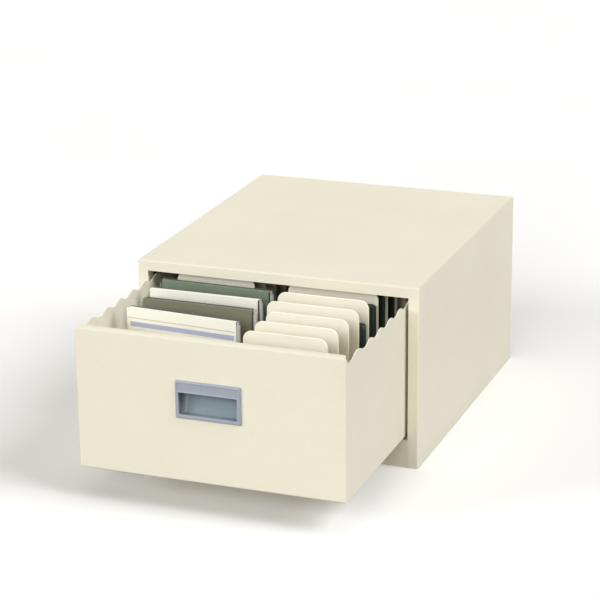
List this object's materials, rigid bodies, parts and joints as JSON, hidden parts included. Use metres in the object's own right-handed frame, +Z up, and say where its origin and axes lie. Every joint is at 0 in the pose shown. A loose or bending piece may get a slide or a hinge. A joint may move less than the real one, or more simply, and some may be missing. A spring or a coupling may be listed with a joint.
{
  "type": "media storage cabinet",
  "caption": "Low desk-top steel cabinet with a pull-out drawer, recessed grip handle, waved drawer sides and tabbed divider plates holding disc cases.",
  "frame": {"origin": "middle of the cabinet's footprint, on the surface that it stands on", "axes": "+Z up; +Y towards the back of the cabinet, so the drawer pulls out along -Y; +X to the right of someone facing the drawer"},
  "size_m": [0.309, 0.5394, 0.195],
  "materials": {
    "cream_paint": "satin powder coat with fine orange peel",
    "cream_plastic": "matt moulded",
    "grey_plastic": "satin moulded",
    "zinc_steel": "zinc plated",
    "white_nylon": "turned",
    "black_rubber": "matt",
    "case_white": "clear case over a plain white card",
    "case_olive": "clear case over a plain dark card",
    "case_green": "clear case over a plain green card",
    "dark_sleeve": "matt"
  },
  "bodies": {
    "cabinet": {"casing_wrap": "cream_paint", "kick_rail": "cream_paint", "floor_panel": "cream_paint", "back_panel": "cream_paint", "cabinet_rail_left": "zinc_steel", "cabinet_rail_right": "zinc_steel", "front_roller_pin_left": "zinc_steel", "front_roller_pin_right": "zinc_steel", "rear_buffer_left": "black_rubber", "rear_buffer_right": "black_rubber"},
    "drawer": {"drawer_front": "cream_paint", "drawer_inner_front": "cream_paint", "drawer_side_left": "cream_paint", "drawer_side_right": "cream_paint", "drawer_floor": "cream_paint", "drawer_back": "cream_paint", "handle_cup": "grey_plastic", "handle_retainer": "zinc_steel", "drawer_front_screws": "zinc_steel", "rear_roller_pin_left": "zinc_steel", "rear_roller_pin_right": "zinc_steel", "divider_left_1": "cream_plastic", "divider_left_2": "cream_plastic", "divider_left_3": "cream_plastic", "divider_left_4": "cream_plastic", "divider_right_1": "cream_plastic", "divider_right_2": "cream_plastic", "divider_right_3": "cream_plastic", "divider_right_4": "cream_plastic", "divider_right_5": "cream_plastic", "divider_right_6": "cream_plastic", "divider_right_7": "cream_plastic", "divider_right_8": "cream_plastic", "divider_right_9": "cream_plastic", "media_case_1": "case_white", "media_case_2": "case_olive", "media_case_3": "case_white", "media_case_4": "case_green", "media_sleeve_1": "dark_sleeve", "media_sleeve_2": "dark_sleeve", "media_sleeve_3": "dark_sleeve", "media_sleeve_4": "dark_sleeve"},
    "roller_front_left": {"front_roller_left": "white_nylon"},
    "roller_front_right": {"front_roller_right": "white_nylon"},
    "roller_rear_left": {"rear_roller_left": "white_nylon"},
    "roller_rear_right": {"rear_roller_right": "white_nylon"}
  },
  "joints": [
    {"name": "drawer_slide", "type": "slide", "parent": "cabinet", "child": "drawer", "axis": [0, -1, 0], "range_m": [-0.182, 0.073]},
    {"name": "front_left_spin", "type": "hinge", "parent": "cabinet", "child": "roller_front_left", "pos_m": [-0.13325, -0.1485, 0.0257], "axis": [1, 0, 0], "continuous": true},
    {"name": "front_right_spin", "type": "hinge", "parent": "cabinet", "child": "roller_front_right", "pos_m": [0.13325, -0.1485, 0.0257], "axis": [1, 0, 0], "continuous": true},
    {"name": "rear_left_spin", "type": "hinge", "parent": "drawer", "child": "roller_rear_left", "pos_m": [-0.1456, -0.0345, 0.049], "axis": [1, 0, 0], "continuous": true},
    {"name": "rear_right_spin", "type": "hinge", "parent": "drawer", "child": "roller_rear_right", "pos_m": [0.1456, -0.0345, 0.049], "axis": [1, 0, 0], "continuous": true}
  ],
  "couplings": [
    {"joint": "front_left_spin", "follows": "drawer_slide", "rad_per_m": 125},
    {"joint": "front_right_spin", "follows": "drawer_slide", "rad_per_m": 125},
    {"joint": "rear_left_spin", "follows": "drawer_slide", "rad_per_m": 125},
    {"joint": "rear_right_spin", "follows": "drawer_slide", "rad_per_m": 125}
  ]
}
